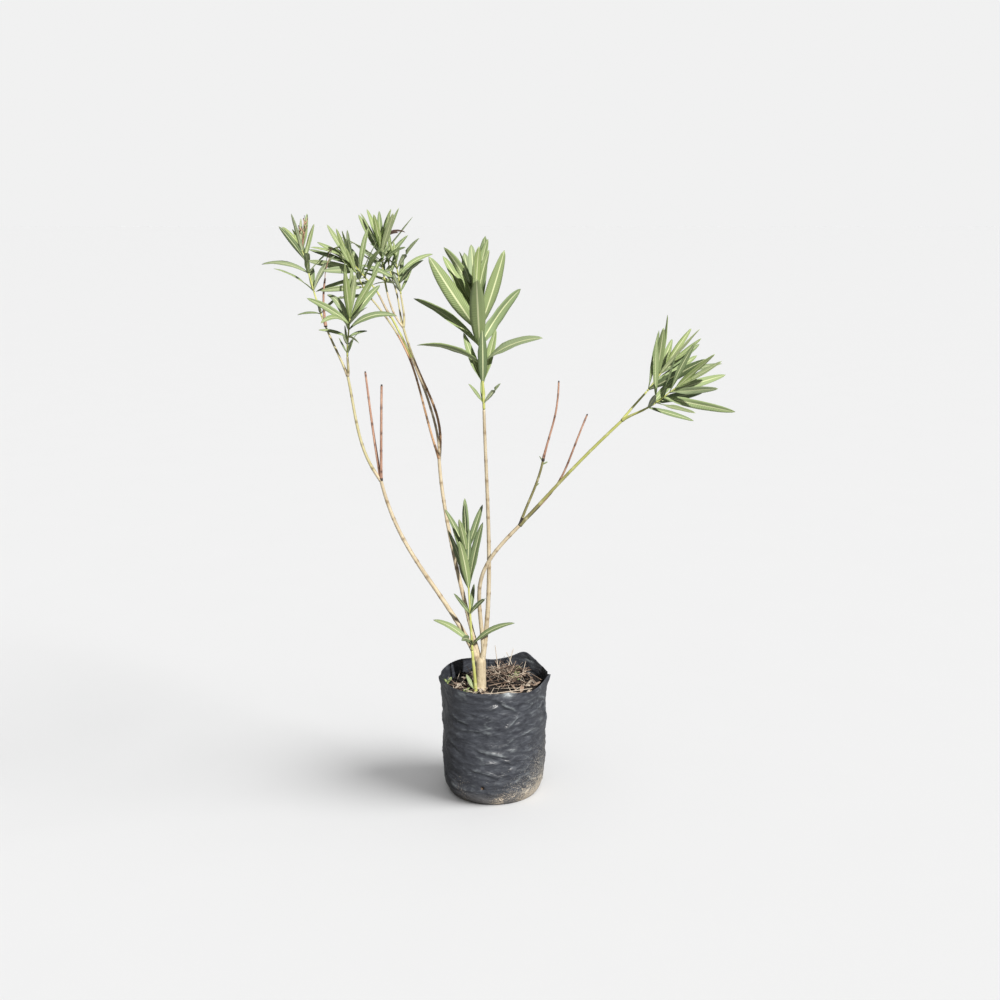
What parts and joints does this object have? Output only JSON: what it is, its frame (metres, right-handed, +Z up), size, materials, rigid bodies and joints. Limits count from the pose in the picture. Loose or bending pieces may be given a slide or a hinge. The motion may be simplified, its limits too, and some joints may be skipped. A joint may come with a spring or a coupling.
{
  "type": "potted oleander",
  "caption": "Young oleander shrub in a soft black planter bag, with slender forking boughs, whorls of long narrow leaves at the tips, a leafy sucker and dry leafless twigs.",
  "frame": {"origin": "centre of the bag's flat underside, on the level that it stands on", "axes": "+Z up; +X to the right-hand bough as seen from the front; +Y to the back"},
  "size_m": [0.6894, 0.4084, 0.8853],
  "materials": {
    "bag_film": "thin black polythene film, slack and creased, with a soft sheen",
    "soil": "dark damp potting soil under dry straw and leaf litter",
    "bark": "smooth pale tan bark with faint node rings",
    "green_bark": "smooth yellow-green young bark",
    "dry_wood": "dead orange-brown twigs with dark cut tips",
    "foliage": "leathery grey-green leaves, each with a pale yellow midrib"
  },
  "bodies": {
    "root": {"bag": "bag_film", "soil": "soil", "trunk": "bark", "bough_left": "bark", "bough_middle": "bark", "bough_centre": "bark", "bough_right": "bark", "branch_left": "bark", "branch_left_outer": "bark", "branch_left_inner": "bark", "branch_middle_left": "bark", "branch_middle_high": "bark", "branch_middle_right": "bark", "branch_middle_outer": "bark", "branch_top": "bark", "branch_back": "bark", "branch_middle_inner": "bark", "branch_right_upper": "bark", "branch_right_lower": "bark", "sucker": "green_bark", "branch_right": "green_bark", "twig_right": "green_bark", "stub_left_long": "dry_wood", "stub_left_short": "dry_wood", "stub_left_outer": "dry_wood", "twig_right_dry": "dry_wood", "stub_right": "dry_wood", "foliage_sucker": "foliage", "foliage_left_outer": "foliage", "foliage_left_inner": "foliage", "foliage_middle_outer": "foliage", "foliage_middle_left": "foliage", "foliage_top": "foliage", "foliage_middle_inner": "foliage", "foliage_back": "foliage", "foliage_centre": "foliage", "foliage_right_upper": "foliage", "foliage_right_lower": "foliage"}
  },
  "joints": []
}
